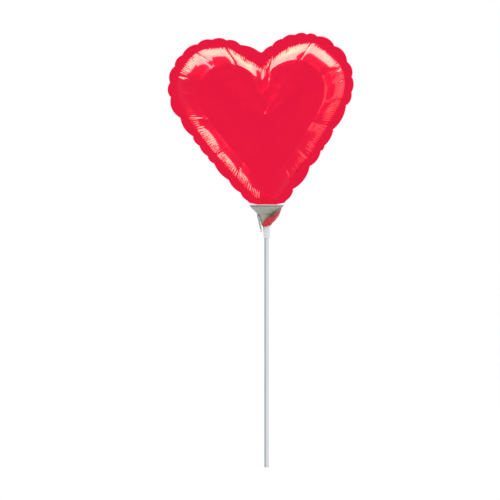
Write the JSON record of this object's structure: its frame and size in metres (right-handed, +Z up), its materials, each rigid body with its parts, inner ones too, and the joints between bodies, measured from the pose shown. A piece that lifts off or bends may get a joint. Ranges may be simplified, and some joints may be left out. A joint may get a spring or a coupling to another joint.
{
  "type": "heart foil balloon on stick",
  "caption": "Air-filled heart-shaped foil balloon with a puckered heat-sealed edge, its tail wound round a small cup that plugs onto a straight stick.",
  "frame": {"origin": "middle of the stick's lower end, where a hand or a holder takes it", "axes": "+Z up along the stick, -Y the way the balloon's front faces, +X to the right seen from the front"},
  "size_m": [0.185, 0.0732, 0.4338],
  "materials": {
    "film_red": "metallised red film, mirror gloss",
    "film_inside": "bare silver side of the film, satin",
    "cup": "frosted translucent moulding",
    "stick": "extruded pale plastic, satin",
    "valve": "clear film"
  },
  "bodies": {
    "stick": {"stick": "stick"},
    "cup": {"holder_cup": "cup", "tail_wrap": "film_inside", "tail_lead": "film_inside", "tail_fold": "film_red"},
    "clip": {"clip_finger": "cup"},
    "neck": {"tail_neck": "film_red"},
    "balloon": {"front_panel": "film_red", "rear_panel": "film_red"},
    "valve_front": {"valve_film_front": "valve"},
    "valve_rear": {"valve_film_rear": "valve"}
  },
  "joints": [
    {"name": "cup_pull", "type": "slide", "parent": "stick", "child": "cup", "axis": [0, 0, 1], "range_m": [0, 0.016]},
    {"name": "clip_flex", "type": "hinge", "parent": "cup", "child": "clip", "pos_m": [-0.0092, 0, 0.2514], "axis": [0, 1, 0], "range_deg": [0, 14], "stiffness_Nm_per_rad": 0.02},
    {"name": "sway_side", "type": "hinge", "parent": "cup", "child": "neck", "pos_m": [0, 0, 0.2485], "axis": [0, 1, 0], "range_deg": [-4, 4], "stiffness_Nm_per_rad": 0.5},
    {"name": "sway_front", "type": "hinge", "parent": "neck", "child": "balloon", "pos_m": [0.0015, 0, 0.262], "axis": [1, 0, 0], "range_deg": [-10, 10], "stiffness_Nm_per_rad": 0.3},
    {"name": "valve_front_open", "type": "hinge", "parent": "balloon", "child": "valve_front", "pos_m": [0.0015, -0.0005, 0.2661], "axis": [1, 0, 0], "range_deg": [0, 5], "stiffness_Nm_per_rad": 0.002},
    {"name": "valve_rear_open", "type": "hinge", "parent": "balloon", "child": "valve_rear", "pos_m": [0.0015, 0.0005, 0.2661], "axis": [1, 0, 0], "range_deg": [-5, 0], "stiffness_Nm_per_rad": 0.002}
  ],
  "couplings": [
    {"joint": "valve_rear_open", "follows": "valve_front_open", "ratio": -1}
  ]
}
